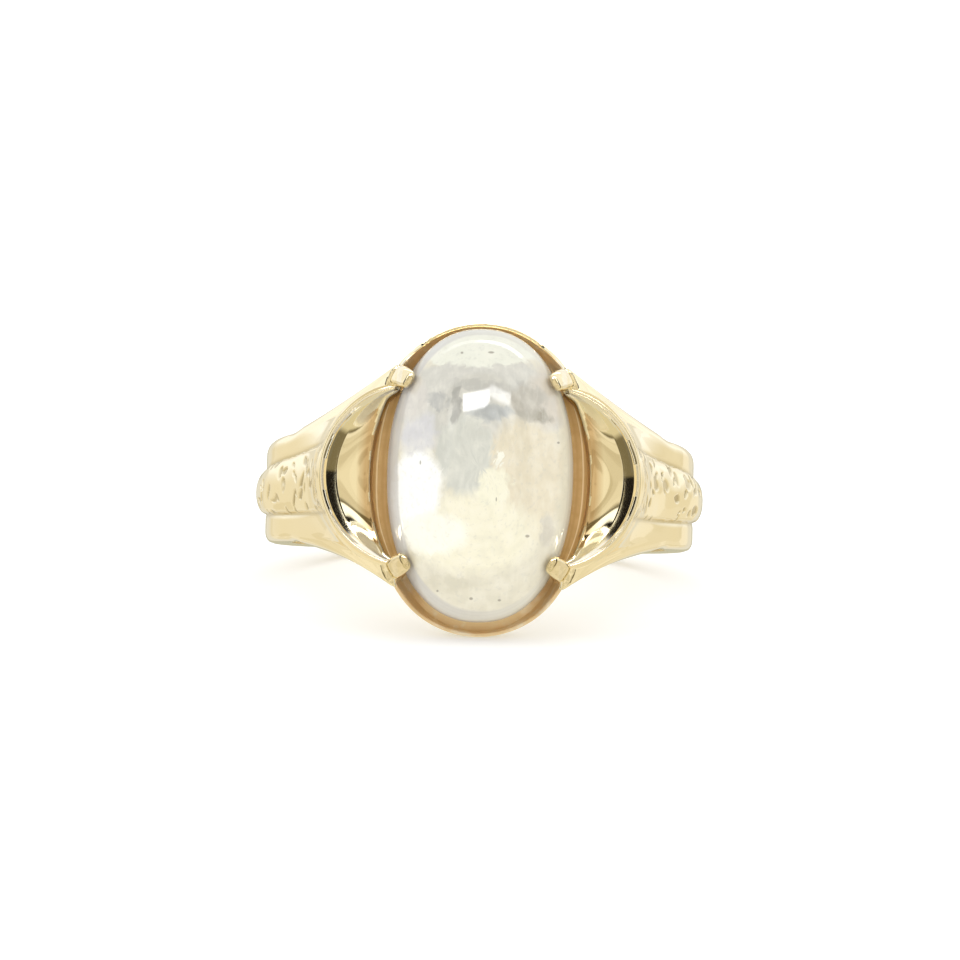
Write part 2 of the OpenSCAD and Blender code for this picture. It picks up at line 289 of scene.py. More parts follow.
def stationsAlong():
    # middle point, edge point and outward direction in x and z, half-width, part of the way up the
    # shoulder and rise of the band, from the back of the finger to the crescent's rim
    back = np.concatenate([
        np.linspace(shank["backAngle"], shank["sideAngle"], shank["backSteps"], endpoint=False),
        np.linspace(shank["sideAngle"], shank["shoulderAngle"], shank["sideSteps"], endpoint=False)])
    a = np.radians(back)
    out = np.stack([np.sin(a), np.cos(a)], 1)
    arc = shank["railRadius"] * out
    bandStart = smooth((band["startAngle"] - back) / band["fadeAngle"])
    finger = [arc, arc, out, shankHalf(back), np.zeros(len(a)), band["rise"] * bandStart]
    a0 = math.radians(shank["shoulderAngle"])
    start = shank["railRadius"] * np.array([math.sin(a0), math.cos(a0)])
    run = np.array([-math.cos(a0), math.sin(a0)])
    outward, below = shank["middleTop"]
    middleLine = [start, start + shank["middleRun"] * run,
                  [crescentX + outward, rim["crescentHeight"] - below],
                  [crescentX, rim["crescentHeight"] + over]]
    edgeX, below = shank["edgeTop"]
    edgeLine = [start, start + shank["edgeRun"] * run, [edgeX, rim["clawHeight"] - below],
                [rim["footOut"][0], rim["clawHeight"] + over]]
    t = np.linspace(0, 1, shank["shoulderSteps"])
    middle, edge, d = cubic(middleLine, t), cubic(edgeLine, t), cubicRun(middleLine, t)
    reach = np.clip((shank["railRadius"] - edge[:, 0]) / (shank["railRadius"] - shank["flaredX"]), 0, 1)
    wide = mix(shank["sideHalf"] + shank["widening"], rim["footOut"][1], reach ** shank["flare"])
    shoulder = [middle, edge, np.stack([d[:, 1], -d[:, 0]], 1) / np.linalg.norm(d, axis=1)[:, None],
                mix(shankHalf(shank["shoulderAngle"]), wide, smooth(t * shank["widenRate"])), t,
                mix(band["rise"], band["endRise"], smooth(t)) * smooth((1 - t) * band["endFade"])]
    return [np.concatenate(pair) for pair in zip(finger, shoulder)]


def shankLoft():
    # one closed row at each station: the outer skin (rail, band, rail), a wall, the core inside the
    # finger hole, and the other wall. With them comes how far each point lies in a pit or a groove,
    # which sets how much painted shade darkens the gold there.
    middle, edge, out, half, part, rise = stationsAlong()
    run = np.concatenate([[0], np.cumsum(np.linalg.norm(np.diff(middle, axis=0), axis=1))])
    height = np.maximum(0, middle[:, 1]) / (rim["crescentHeight"] + over)
    bandHalf = mix(band["half"], band["flareHalf"], height ** band["flare"])
    bandHalf = bandHalf * np.minimum(1, half / shank["sideHalf"])
    sides = []
    for side in (-1, 1):
        order = slice(None, 0, -1) if side < 0 else slice(None)
        m, e, o = middle[order], edge[order], out[order]
        w, b, t, up, s = (x[order][:, None] for x in (half, bandHalf, part, rise, run))
        # columns across the skin: rail, band, rail
        past = band["reach"]
        rail = mix(b * past, w, np.linspace(1, shank["nearest"], shank["railColumns"])[None, :])
        v = np.concatenate([-rail, b * np.linspace(-past, past, shank["bandColumns"])[None, :],
                            rail[:, ::-1]], 1)
        size = np.abs(v)
        fromBand = (size - b) / (w - b)
        rounding = np.clip((fromBand - shank["roundFrom"]) / shank["roundOver"], 0, 1)
        drop = shank["edgeDrop"] * (1 - np.sqrt(1 - rounding ** shank["roundPower"]))
        # the band: a raised dome with a ragged edge and a fine groove beside it, swelling and pitted;
        # the bare whole numbers are rows and seeds of the noise
        ragged = band["ragged"] * (waves(s * band["raggedScale"], np.sign(v) * 3 + 7, 3 + side) - 0.5)
        plateau = smooth((b + ragged - size) / band["edge"] + 0.5)
        dome = np.sqrt(1 - band["dome"] * np.clip(size / b, 0, 1) ** 2)
        seed = 11 + 20 * (side > 0)
        swell = waves(s / band["swellSize"], v / band["swellSize"], seed + 9) - 0.5
        bend = band["bend"] * waves(s * band["bendScale"], v * band["bendScale"], seed + 7)
        pit = pits(s / band["pitSize"] + bend, v / band["pitSize"] + bend, seed)
        strength = up / band["rise"]
        relief = strength * (band["swell"] * swell - band["pitDepth"] * pit)
        beside = (size - b - band["grooveAt"]) / band["grooveWidth"]
        groove = band["groove"] * np.exp(-beside ** 2) * strength
        lift = plateau * (up * dome + relief) - groove - drop
        bowed = bow(v / w)[..., None]
        skin = mix(m[:, None, :], e[:, None, :], bowed) + lift[..., None] * o[:, None, :]
        skin = np.stack([side * skin[..., 0], v, skin[..., 1]], -1)
        # how much painted shade darkens the gold: in the pits, and in the groove beside the band
        hollow = plateau * pit + band["grooveTint"] * np.exp(-beside ** 2)
        hollow = hollow * smooth(up / band["tintRise"])
        # wall: down from the edge, bulging a little on the shoulders, then in to the core, which the
        # finger hole's cut takes away
        inner = w[:, 0] - shank["coreInset"][0] - shank["coreInset"][1] * t[:, 0]
        boreV = np.linspace(1, -1, shank["boreColumns"])[None, :]
        q = mix(m[:, None, :], e[:, None, :], bow(boreV)[..., None])
        a = np.arctan2(q[..., 0], q[..., 1])
        core = np.stack([side * hole["coreRadius"] * np.sin(a), boreV * inner[:, None],
                         hole["coreRadius"] * np.cos(a)], -1)
        low = e - shank["edgeDrop"] * o
        lowest = np.stack([side * low[:, 0], w[:, 0], low[:, 1]], -1)
        deep = mix(lowest, core[:, 0] * [1, 0, 1] + lowest * [0, 1, 0], shank["wallDepth"])
        deep[:, 1] += shank["bulge"] * np.sin(np.pi * t[:, 0])
        near, far = shank["wallCurve"]
        curve = (lowest, mix(lowest, deep, near), mix(deep, core[:, 0], far), core[:, 0])
        wall = np.stack([cubic(curve, k) for k in np.linspace(0, 1, shank["wallColumns"])[1:-1]], 1)
        rows = np.concatenate([skin, wall, core, wall[:, ::-1] * [1, -1, 1]], 1)
        extra = np.zeros((len(rows), rows.shape[1] - skin.shape[1]))
        sides.append((rows, np.concatenate([hollow, extra], 1)))
    return [np.concatenate(pair) for pair in zip(*sides)]


# head: flared body, and the cutter that shapes its finished top

head = {
    "neck": (5.2, 4.7), "root": 6.2, "clear": 16.0,
    "bowl": [(0, 0), (0.75, 0.02), (1, 0.35), (1, 1)],  # wall: part of the way out, part of the way up
    "undercut": 0.3, "top": 0.2, "gallery": (2.7, 3.8), "overshoot": 0.2,
    "bearing": 0.75, "ledge": 0.65, "lipMargin": 0.17, "seatHeight": 9.95, "lipDrop": 0.3,
    "step": 0.12, "stepEdge": [(-0.05, 0.09), (-0.015, 0.03), (0.02, 0.004)],  # out, and down
    "floorPart": 0.7, "wallSlope": 28, "floorSlope": 8, "floorEndSlope": 32, "steepestAt": 40,
    "floorSag": 0.05, "crease": 0.008, "crest": 0.05,
    "crestFrom": 0.04, "pastRim": (0.01, 0.3, 1), "below": 0.02,  # where the cutter leaves the crest
    "angles": 540, "bowlRows": 18, "floorRows": 16, "wallRows": 10, "crestRows": 13,
    "galleryRows": (0.33, 0.66, 1), "seatRows": (0.3, 0.6, 0.9, 1),  # part of the way out
}


def aroundAngles(turn=0):  # even steps round the stone, turned by a part of a step
    return (np.arange(head["angles"]) + turn) * 2 * np.pi / head["angles"]


def ringRows(a, rows):  # rows of (radius, height) at each angle to points
    return np.stack([np.stack([r * np.cos(a), r * np.sin(a), z + 0 * a], -1) for r, z in rows])


def bodyLoft():
    # from the neck's oval out and up to the rim, by the bowl's curve, and drawn in under the crescents
    a = aroundAngles(0.5)
    neck = ovalRadius(a, *head["neck"])
    wall = cubic(head["bowl"], np.linspace(0, 1, head["bowlRows"]))
    rows = [(neck, head["root"])]
    rows += [(mix(neck, rimRadius(a), p) - head["undercut"] * crescentPart(a),
              mix(hole["radius"], rimHeight(a) + over, h)) for p, h in wall]
    rows.append((rimRadius(a), rim["clawHeight"] + head["top"]))
    return ringRows(a, rows)


def seatRadius(a):  # outer edge of the seat: wide beside the crescents, close to the stone elsewhere
    wide = mix(head["lipMargin"], head["ledge"], ledgePart(a) * np.cos(np.radians(quarter(a))) ** 2)
    return ovalRadius(a, stone["halfWidth"], stone["halfLength"]) + wide


def scoopAt(a, u):
    # radius and height of the head's top, from the seat's step (u = 0) to the rim (u = 1): a gently
    # sagging floor and a steeper wall beside the crescents, one straight slope at the lips
    c, edge, top = crescentPart(a), head["floorPart"], rimHeight(a)
    inner, outer = seatRadius(a) + head["step"] * ledgePart(a), rimRadius(a) - rim["edge"]
    wide = outer - inner
    crease = top - (1 - edge) * wide * math.tan(math.radians(head["wallSlope"]))
    steeper = smooth(quarter(a) / head["steepestAt"])
    slope = np.radians(mix(head["floorSlope"], head["floorEndSlope"], steeper))
    if u < edge:
        sag = head["floorSag"] * math.sin(math.pi * u / edge)
        scoop = crease - (edge - u) * wide * np.tan(slope) - sag
    else:
        scoop = mix(crease, top, (u - edge) / (1 - edge))
    return mix(inner, outer, u), mix(mix(head["seatHeight"] - head["lipDrop"], top, u), scoop, c)


def cutterLoft():
    # the gallery hole, the seat and the scoops from the inside out, then the rim and all above it
    a = aroundAngles()
    c = crescentPart(a)
    gallery = ovalRadius(a, *head["gallery"])
    bearing = ovalRadius(a, stone["halfWidth"] - head["bearing"], stone["halfLength"] - head["bearing"])
    seat, seatHeight = seatRadius(a), head["seatHeight"]
    low = mix(seatHeight - head["lipDrop"], seatHeight, c)
    galleryTop = hole["radius"] - head["overshoot"]
    rows = [(gallery, head["root"] - head["overshoot"]), (gallery, galleryTop)]
    rows += [(mix(gallery, bearing, k), mix(galleryTop, seatHeight, k)) for k in head["galleryRows"]]
    rows += [(mix(bearing, seat, k), mix(seatHeight, low, k)) for k in head["seatRows"]]
    edge = head["floorPart"]
    for u in (*np.linspace(0, edge - head["crease"], head["floorRows"]),
              *np.linspace(edge, 1, head["wallRows"])):
        r, z = scoopAt(a, u)
        if u == 0:  # the step's upper edge is rounded over
            rows += [(r + out * c, z - down * c) for out, down in head["stepEdge"]]
        else:
            rows.append((r, z))
    r, z, t = rimRadius(a), rimHeight(a), rim["edge"]
    past, further, furthest = head["pastRim"]
    for k in np.linspace(head["crestFrom"], 1, head["crestRows"]):  # flat, and rounded at both edges
        rows.append((r - t + k * (t + past), z - head["crest"] * (2 * k - 1) ** 4))
    rows += [(r + further, z - head["crest"] - head["below"]),
             (r + furthest, z - head["crest"]), (r + furthest, head["clear"])]
    return ringRows(a, rows)


claws = {
    # distance out from the stone's edge, height, half-width and half-depth, from the foot to the tip
    "path": [(0.4, 10.1, 0.42, 0.18), (0.43, 11.1, 0.46, 0.19), (0.41, 11.5, 0.47, 0.23),
             (0.24, 11.92, 0.47, 0.27), (0.08, 12.18, 0.46, 0.26), (-0.09, 12.4, 0.43, 0.22),
             (-0.2, 12.5, 0.38, 0.19), (-0.28, 12.56, 0.27, 0.13), (-0.32, 12.57, 0.12, 0.06)],
    "turn": 30, "rows": 60, "sides": 40, "square": 2.6,
}


def smoothThrough(points, count):  # Catmull-Rom curve through the points
    p = np.asarray(points, float)
    p = np.concatenate([[2 * p[0] - p[1]], p, [2 * p[-1] - p[-2]]])
    t = np.linspace(0, len(p) - 3, count)
    i = np.minimum(t.astype(int), len(p) - 4)
    t = (t - i)[:, None]
    a, b, c, d = (p[i + k] for k in range(4))
    square, cube = 2 * a - 5 * b + 4 * c - d, 3 * b - a - 3 * c + d
    return 0.5 * (2 * b + (c - a) * t + square * t ** 2 + cube * t ** 3)


def clawLoft(mirrorX, mirrorY):
    # a rounded bar carried along the path, square to the stone's edge: each section is a slightly
    # squared oval across the path
    path = smoothThrough(claws["path"], claws["rows"])
    run = np.gradient(path[:, :2], axis=0)
    run /= np.linalg.norm(run, axis=1)[:, None]
    b = np.arange(claws["sides"]) * 2 * np.pi / claws["sides"]
    n = 2 / claws["square"]
    thick = np.sign(np.cos(b)) * np.abs(np.cos(b)) ** n
    wide = np.sign(np.sin(b)) * np.abs(np.sin(b)) ** n
    out = path[:, 0, None] + path[:, 3, None] * thick * run[:, 1, None]
    across = path[:, 2, None] * wide
    up = path[:, 1, None] - path[:, 3, None] * thick * run[:, 0, None]
    a, turn = math.radians(rim["clawAngle"]), math.radians(claws["turn"])
    foot = ovalRadius(a, stone["halfWidth"], stone["halfLength"])
    return np.stack([mirrorX * (foot * math.cos(a) + out * math.cos(turn) - across * math.sin(turn)),
                     mirrorY * (foot * math.sin(a) + out * math.sin(turn) + across * math.cos(turn))
                     + stone["shift"], up], -1)


def boreLoft():  # the finger hole's cylinder, along y
    a = np.arange(hole["sides"]) * 2 * np.pi / hole["sides"]
    return np.stack([np.stack([hole["radius"] * np.sin(a), 0 * a + y, hole["radius"] * np.cos(a)], -1)
                     for y in np.linspace(-hole["reach"], hole["reach"], hole["rows"])])


rows, hollow = shankLoft()
mount = loftMesh("ring_mount_finished", rows, hollow)
report("shank and shoulders")
combine(mount, loftMesh("body", bodyLoft()), "UNION")
combine(mount, loftMesh("cutter", cutterLoft()), "DIFFERENCE")
report("head")
for mirrorX in (1, -1):
    for mirrorY in (1, -1):
        combine(mount, loftMesh("claw", clawLoft(mirrorX, mirrorY)), "UNION")
combine(mount, loftMesh("bore", boreLoft()), "DIFFERENCE")
place = layDown(mount, sharpAngle=38)
mount.data.calc_loop_triangles()
report(f"mount, {len(mount.data.loop_triangles)} triangles")


# the cabochon

def stoneLoft():  # bevelled base, girdle, then an ellipse-sectioned dome
    a = np.arange(stone["columns"]) * 2 * np.pi / stone["columns"]
    rise = np.linspace(0, math.radians(stone["topAngle"]), stone["rows"])
    bevelPart, bevelHeight = zip(*stone["bevel"])
    part = np.concatenate([bevelPart, np.cos(rise)])
    height = np.concatenate([bevelHeight, stone["girdle"] + stone["dome"] * np.sin(rise)])
    r = ovalRadius(a, stone["halfWidth"], stone["halfLength"])
    return np.stack([np.stack([p * r * np.cos(a), p * r * np.sin(a) + stone["shift"],
                               0 * a + stone["base"] + h], -1) for p, h in zip(part, height)])


cabochon = loftMesh("moonstone_finished", stoneLoft())
x, y, z = layDown(cabochon, sharpAngle=0).T
y -= stone["shift"]
attribute(cabochon, "across", x)
attribute(cabochon, "along", y + stone["shift"] + z * math.tan(sightTilt))  # as the camera sees it
attribute(cabochon, "inFromEdge", ovalRadius(np.arctan2(y, x), stone["halfWidth"], stone["halfLength"])
          - np.hypot(x, y))
report("moonstone")


# shader sums written as Python

class Wire:  # a node's output; sums on it add Math nodes
    def __init__(self, paint, socket):
        self.paint, self.socket = paint, socket

    def math(self, operation, *values):
        return self.paint.node("ShaderNodeMath", {"operation": operation}, dict(enumerate(values)))

    def __add__(self, other):
        return self.math("ADD", self, other)

    def __sub__(self, other):
        return self.math("SUBTRACT", self, other)

    def __rsub__(self, other):
        return self.math("SUBTRACT", other, self)

    def __mul__(self, other):
        return self.math("MULTIPLY", self, other)

    def __abs__(self):
        return self.math("ABSOLUTE", self)

    __radd__, __rmul__ = __add__, __mul__


class Paint:  # a node tree
    def __init__(self, owner):
        owner.use_nodes = True
        self.owner, self.tree = owner, owner.node_tree
        self.tree.nodes.clear()

    def node(self, kind, settings=None, inputs=None, output=0):
        made = self.tree.nodes.new(kind)
        for name, value in (settings or {}).items():
            setattr(made, name, value)
        for name, value in (inputs or {}).items():
            if isinstance(value, Wire):
                self.tree.links.new(value.socket, made.inputs[name])
            else:
                made.inputs[name].default_value = value
        return Wire(self, made.outputs[output] if made.outputs else None)

    def clamp(self, value):
        return self.node("ShaderNodeClamp", {}, {0: value})

    def past(self, value, edge, soft):  # 0 below the edge, 1 above it, over a soft width
        return self.node("ShaderNodeMapRange", {}, {
            "Value": value, "From Min": edge - soft / 2, "From Max": edge + soft / 2})

    def within(self, value, low, high, soft):  # 1 between low and high
        return self.past(value, low, soft) * (1 - self.past(value, high, soft))

    def blend(self, part, a, b):  # colour a at 0, colour b at 1
        a, b = ((*c, 1) if isinstance(c, tuple) else c for c in (a, b))
        return self.node("ShaderNodeMix", {"data_type": "RGBA"}, {0: part, 6: a, 7: b}, 2)

    def channel(self, colour, which=0):
        return self.node("ShaderNodeSeparateColor", {}, {0: colour}, which)

    def joined(self, *parts):  # numbers to a vector
        return self.node("ShaderNodeCombineXYZ", {}, dict(enumerate(parts)))

    def cells(self, place, scale):  # a random colour in each of many small cells
        return self.node("ShaderNodeTexVoronoi", {}, {"Vector": place, "Scale": scale}, "Color")

    def vector(self, operation, *values, output=0):
        inputs = dict(enumerate(values))
        return self.node("ShaderNodeVectorMath", {"operation": operation}, inputs, output)

    def oval(self, place, middle, half, soft):  # 1 inside an oval, 0 outside it
        scaled = self.vector("DIVIDE", self.vector("SUBTRACT", place, (*middle, 0)), (*half, 1))
        return 1 - self.past(self.vector("LENGTH", scaled, output="Value"), 1, soft)

    def value(self, name):  # one of the mesh's attributes
        return self.node("ShaderNodeAttribute", {"attribute_name": name}, {}, "Fac")

    def noise(self, scale, detail=2.0, place=None):
        inputs = {"Scale": scale, "Detail": detail}
        inputs["Vector"] = place or self.node("ShaderNodeTexCoord", {}, {}, "Object")
        return self.node("ShaderNodeTexNoise", {}, inputs, "Fac")


# gold

gold = {
    # painted light: pale is a painted highlight on the crests and painted glints on the lips; pit is
    # painted shade in the pits and the groove
    "colour": (0.98, 0.87, 0.60), "pale": (1.0, 0.95, 0.82), "pit": (0.52, 0.43, 0.24),
    # claw and lip are painted shade on the claws and on the lips' inner faces; seat is the ledge's tan,
    # partly tarnish and partly painted shade
    "claw": (0.82, 0.69, 0.42), "lip": (0.87, 0.65, 0.37), "seat": (0.80, 0.56, 0.27),
    # the ledge's darker bands and the scoop's mirrored tint of the ledge are painted shade, and its
    # bright line a painted highlight
    "seatShade": (0.62, 0.38, 0.15), "seatLine": (0.95, 0.76, 0.47),
    "grain": 2600.0, "cloud": 260.0, "patch": 900.0,  # noise, per metre
    # strengths of the painted tints: everywhere, and with the noise; what the upper claws have less of
    # theirs
    "crestTint": 0.8, "clawTint": (0.5, 0.5), "lipTint": (0.7, 0.5), "upperClaws": 0.5,
    # patchEdge and patchTint set painted glints: pale patches on the lips
    "patchEdge": (0.58, 0.1), "patchTint": 0.5,  # pale patches on the lips
    "wander": 0.16, "tooling": 12.0, "toolingTint": 1.2, "grainTint": 1.2, "tintFrom": 0.8,  # ledge
    # bands of the ledge, two of painted shade and a painted bright line, in parts of its width: from,
    # to, softness and strength
    "border": (0.68, 0.86, 0.06, 0.9), "innerBorder": (0.22, 0.34, 0.06, 0.7),
    "line": (0.55, 0.63, 0.05, 1.0), "shadeEnd": 1.5, "shadeSoft": 0.5, "shade": 0.7,
    "roughness": 0.05, "satinRoughness": 0.3, "pitRoughness": 0.2, "boreRoughness": 0.25,
    "satinMetallic": 0.4,  # taken off 1
    "cloudRoughness": 0.03, "grainHeight": 0.6, "cloudHeight": 0.02, "bump": 0.12, "bumpDepth": 0.00003,
    # where each finish lies on the upright ring: heights, and distances from the rim
    "headFrom": 9.0, "seatTo": 10.7, "scoopTo": 11, "lipTo": 11.4, "crestFrom": 10.9, "clawFrom": 11.7,
    "ledgeWide": 0.78, "ledgeNarrow": 0.34, "narrowFrom": 1.5, "narrowOver": 3.5, "noLedge": 3,
    # how far a face must look out of the head, where 1 is straight out, and how much it must belong to
    # the crescents' side, where 1 is wholly; the lips' finish sets in by the last number's steepness
    "seatFaces": 0.2, "seatBeside": 0.02, "scoopFaces": 0.5, "scoopBeside": 0.5, "lipFaces": 4,
    "lowerLipEdge": 0.02, "upperLipEdge": 0.19, "crestIn": 0.2, "crestOut": 0.1, "boreSkin": 0.02,
}

x, y, z = place.T
angle = np.arctan2(y, x)
radius = np.hypot(x, y)
upper = z > gold["headFrom"]
normal = np.empty(len(place) * 3, np.float32)
mount.data.vertices.foreach_get("normal", normal)
faceUp = normal.reshape(-1, 3) @ [0, -math.cos(restTilt), math.sin(restTilt)]
besideStone = crescentPart(angle)

# distance from the stone in ledge widths, on the ledge and the scoop beside it, and a large number
# elsewhere; the ledge's satin part narrows to the lower claws. It places the ledge's tint and bands of
# painted shade, and the scoop's painted reflection of the ledge.
narrower = smooth((-y - gold["narrowFrom"]) / gold["narrowOver"])
ledge = mix(gold["ledgeWide"], gold["ledgeNarrow"], narrower)
part = (radius - ovalRadius(angle, stone["halfWidth"], stone["halfLength"])) / ledge
onSeat = upper * (z < gold["seatTo"]) * (faceUp > gold["seatFaces"])
onSeat = onSeat * (besideStone > gold["seatBeside"])
inScoop = upper * (z < gold["scoopTo"]) * (faceUp > gold["scoopFaces"])
inScoop = inScoop * (besideStone > gold["scoopBeside"]) * (part > 1)
attribute(mount, "ledgePart", np.where(onSeat | inScoop, part, gold["noLedge"]))

# the lips' inner faces: satin, with a tint of painted shade and painted glints
onLips = upper * (1 - besideStone) * (z < gold["lipTo"]) * smooth(faceUp * gold["lipFaces"])
lipEdge = np.where(y < 0, gold["lowerLipEdge"], gold["upperLipEdge"])
attribute(mount, "lip", onLips * (radius < rimRadius(angle) - lipEdge))
# the rim's crest, which gets a painted highlight
fromRim = rimRadius(angle) - rim["edge"] - radius
onCrest = upper * (z > gold["crestFrom"]) * (fromRim > -gold["crestOut"]) * (fromRim < gold["crestIn"])
attribute(mount, "crest", onCrest)
# the claws' upper parts, darkened by painted shade, the upper claws half as much
attribute(mount, "claw", (z > gold["clawFrom"]) * (1 - gold["upperClaws"] * (y > 0)))
attribute(mount, "bore", np.hypot(x, z) < hole["radius"] + gold["boreSkin"])


def makeGold():
    # yellow gold, polished but for the satin lips and ledge; painted shade darkens the pits, the groove,
    # the claws and the lips, the ledge is partly tarnish and partly painted shade, and painted
    # highlights pale the crests and patches on the lips
    p = Paint(bpy.data.materials.new("gold"))
    ledge, lip, hollow = p.value("ledgePart"), p.value("lip"), p.value("hollow")
    grain = p.noise(gold["grain"], detail=3.0)
    cloud = p.noise(gold["cloud"])
    patch = p.past(p.noise(gold["patch"], detail=3.0), *gold["patchEdge"])
    # painted shade in the pits and the groove
    tint = p.blend(p.clamp(hollow), gold["colour"], gold["pit"])
    # painted highlight along the rim's crest
    tint = p.blend(p.value("crest") * gold["crestTint"], tint, gold["pale"])
    even, varied = gold["clawTint"]
    # painted shade on the claws
    tint = p.blend(p.value("claw") * (even + cloud * varied), tint, gold["claw"])
    even, varied = gold["lipTint"]
    # painted shade on the lips' inner faces, then painted glints as pale patches
    tint = p.blend(lip * (even + grain * varied), tint, gold["lip"])
    tint = p.blend(lip * patch * gold["patchTint"], tint, gold["pale"])
    # the ledge, from the stone outwards: grainy tan, partly tarnish and partly painted shade, with two
    # darker bands of painted shade and a bright line of painted highlight, then a warm painted
    # reflection of it where the scoop mirrors it
    shade = (1 - p.past(ledge, gold["shadeEnd"], gold["shadeSoft"])) * gold["shade"]
    tint = p.blend(shade, tint, gold["seatShade"])
    wander = ledge + (cloud - 0.5) * gold["wander"]
    onLedge = 1 - p.past(ledge, 1.0, 0.05)
    tooled = p.noise(1.0, place=p.joined(wander * gold["tooling"]))
    worked = grain * gold["grainTint"] + tooled * gold["toolingTint"] - gold["tintFrom"]
    seatTint = p.blend(p.clamp(worked), gold["seatShade"], gold["seat"])
    for name, colour in (("border", "seatShade"), ("innerBorder", "seatShade"), ("line", "seatLine")):
        *limits, strength = gold[name]
        seatTint = p.blend(p.within(wander, *limits) * strength, seatTint, gold[colour])
    tint = p.blend(onLedge, tint, seatTint)
    satin = p.clamp(onLedge + lip)
    rough = (gold["roughness"] + satin * gold["satinRoughness"] + hollow * gold["pitRoughness"]
             + p.value("bore") * gold["boreRoughness"] + cloud * gold["cloudRoughness"])
    height = grain * satin * gold["grainHeight"] + cloud * gold["cloudHeight"]
    bump = p.node("ShaderNodeBump", {}, {
        "Strength": gold["bump"], "Distance": gold["bumpDepth"], "Height": height})
    metallic = 1 - satin * gold["satinMetallic"]
    shader = p.node("ShaderNodeBsdfPrincipled", {}, {
        "Base Color": tint, "Metallic": metallic, "Roughness": rough, "Normal": bump})
    p.node("ShaderNodeOutputMaterial", {}, {"Surface": shader})
    return p.owner


# moonstone

moonstone = {
    "body": (0.71, 0.67, 0.54),
    # milky clouds of the stone and painted reflections on its dome, from the deepest to the nearest:
    # middle and half-size in millimetres across and along the stone, as the camera sees it, then colour
    # and softness of the edge
    "cloudsAndReflections": [
        # painted reflection: a grey band across the upper part, where the dome mirrors dark shapes
        # before it
        ((0.0, 4.3), (4.4, 1.75), (0.60, 0.585, 0.52), 0.12),
        ((-0.15, 6.75), (3.0, 1.0), (0.77, 0.77, 0.66), 0.12),
        ((1.9, 0.9), (1.7, 2.7), (0.73, 0.66, 0.50), 0.3),
        ((-0.7, 1.9), (1.25, 1.9), (0.61, 0.61, 0.54), 0.2),
        ((-0.3, -1.5), (2.8, 1.7), (0.83, 0.79, 0.62), 0.35),
        ((0.55, 0.5), (0.75, 0.85), (0.84, 0.81, 0.64), 0.25),
        # painted reflection, the next two: a white patch on the left and its lower end, where the dome
        # mirrors a bright window
        ((-2.75, 0.0), (1.05, 2.15), (0.94, 0.94, 0.90), 0.3),
        ((-2.0, -1.5), (1.5, 0.9), (0.92, 0.90, 0.78), 0.4),
        ((-2.75, 2.75), (0.85, 0.8), (0.62, 0.61, 0.605), 0.5),
        # painted reflection, the next eight: darker and lighter grey patches and bars in and beside the
        # upper grey band
        ((2.9, 4.5), (0.9, 1.3), (0.64, 0.585, 0.49), 0.5),
        ((-2.1, 4.2), (0.65, 0.45), (0.47, 0.465, 0.43), 0.2),
        ((-1.15, 4.2), (0.26, 0.95), (0.41, 0.40, 0.36), 0.3),
        ((0.2, 4.95), (1.7, 0.28), (0.52, 0.51, 0.46), 0.4),
        ((2.0, 4.3), (0.75, 0.75), (0.48, 0.45, 0.38), 0.5),
        ((2.6, 3.7), (0.5, 0.3), (0.38, 0.35, 0.28), 0.6),
        ((0.3, 3.75), (0.95, 0.33), (0.45, 0.46, 0.44), 0.4),
        ((-3.1, 4.4), (0.6, 1.0), (0.64, 0.61, 0.55), 0.4),
        ((0.75, 1.7), (0.1, 0.35), (0.86, 0.84, 0.72), 0.4),
        ((-1.4, -3.8), (1.1, 0.45), (0.66, 0.62, 0.49), 0.4),
        ((3.0, -1.3), (0.35, 0.7), (0.62, 0.58, 0.48), 0.4),
    ],
    "specks": [
        ((0.37, 6.42), (0.13, 0.05)), ((-0.9, 6.38), (0.06, 0.05)), ((-1.75, -4.05), (0.05, 0.05)),
        ((-0.28, -4.35), (0.08, 0.06)), ((0.95, -4.4), (0.07, 0.05)), ((2.1, -1.57), (0.09, 0.06)),
        ((3.38, 2.53), (0.06, 0.05)), ((-2.6, 1.53), (0.03, 0.09)), ((0.72, 0.0), (0.03, 0.09)),
    ],
    "speck": (0.33, 0.30, 0.24), "speckSoft": 0.6, "speckStrength": 0.8,
    # finer patterns: colour and strength, the noise's scale per millimetre, and where it shows
    "light": ((0.90, 0.87, 0.76), 0.35), "shade": ((0.55, 0.53, 0.45), 0.25),
    "mottle": 1.5, "lightFrom": (3.0, 1.3), "shadeFrom": (3.6, 1.7),  # its slope and level
    "fleck": ((0.52, 0.51, 0.46), 0.22), "fleckScale": 5.0, "fleckEdge": (0.62, 0.12),
    "streak": ((0.88, 0.86, 0.76), 0.1), "streakScale": (6.0, 1.3), "streakEdge": (0.6, 0.12),
    "line": ((0.42, 0.40, 0.37), 0.15), "lineRate": 52.0,  # growth lines: radians per millimetre
    "lineDrift": 3.0, "lineEdge": (0.5, 0.6),
    # the edge's ring of painted refraction: width, softness, drift, lean and strength, then its colours
    # at the left and right
    "edgeWidth": 0.42, "edgeSoft": 0.1, "edgeDrift": 0.12, "edgeLean": 0.03, "edgeStrength": 0.7,
    "edgeLeft": (0.50, 0.49, 0.50), "edgeRight": (0.70, 0.67, 0.55), "edgeTurn": 0.12,
    "grain": 2.6, "drift": 0.9,  # per millimetre
    # these two move the painted reflections as well as the clouds
    "shiver": 0.16, "driftAcross": 0.9, "driftAlong": 0.6,  # how far these two move the clouds
    "roughness": 0.04, "ior": 1.53, "scatterPart": 0.3, "scatterDepth": 0.0004,
}


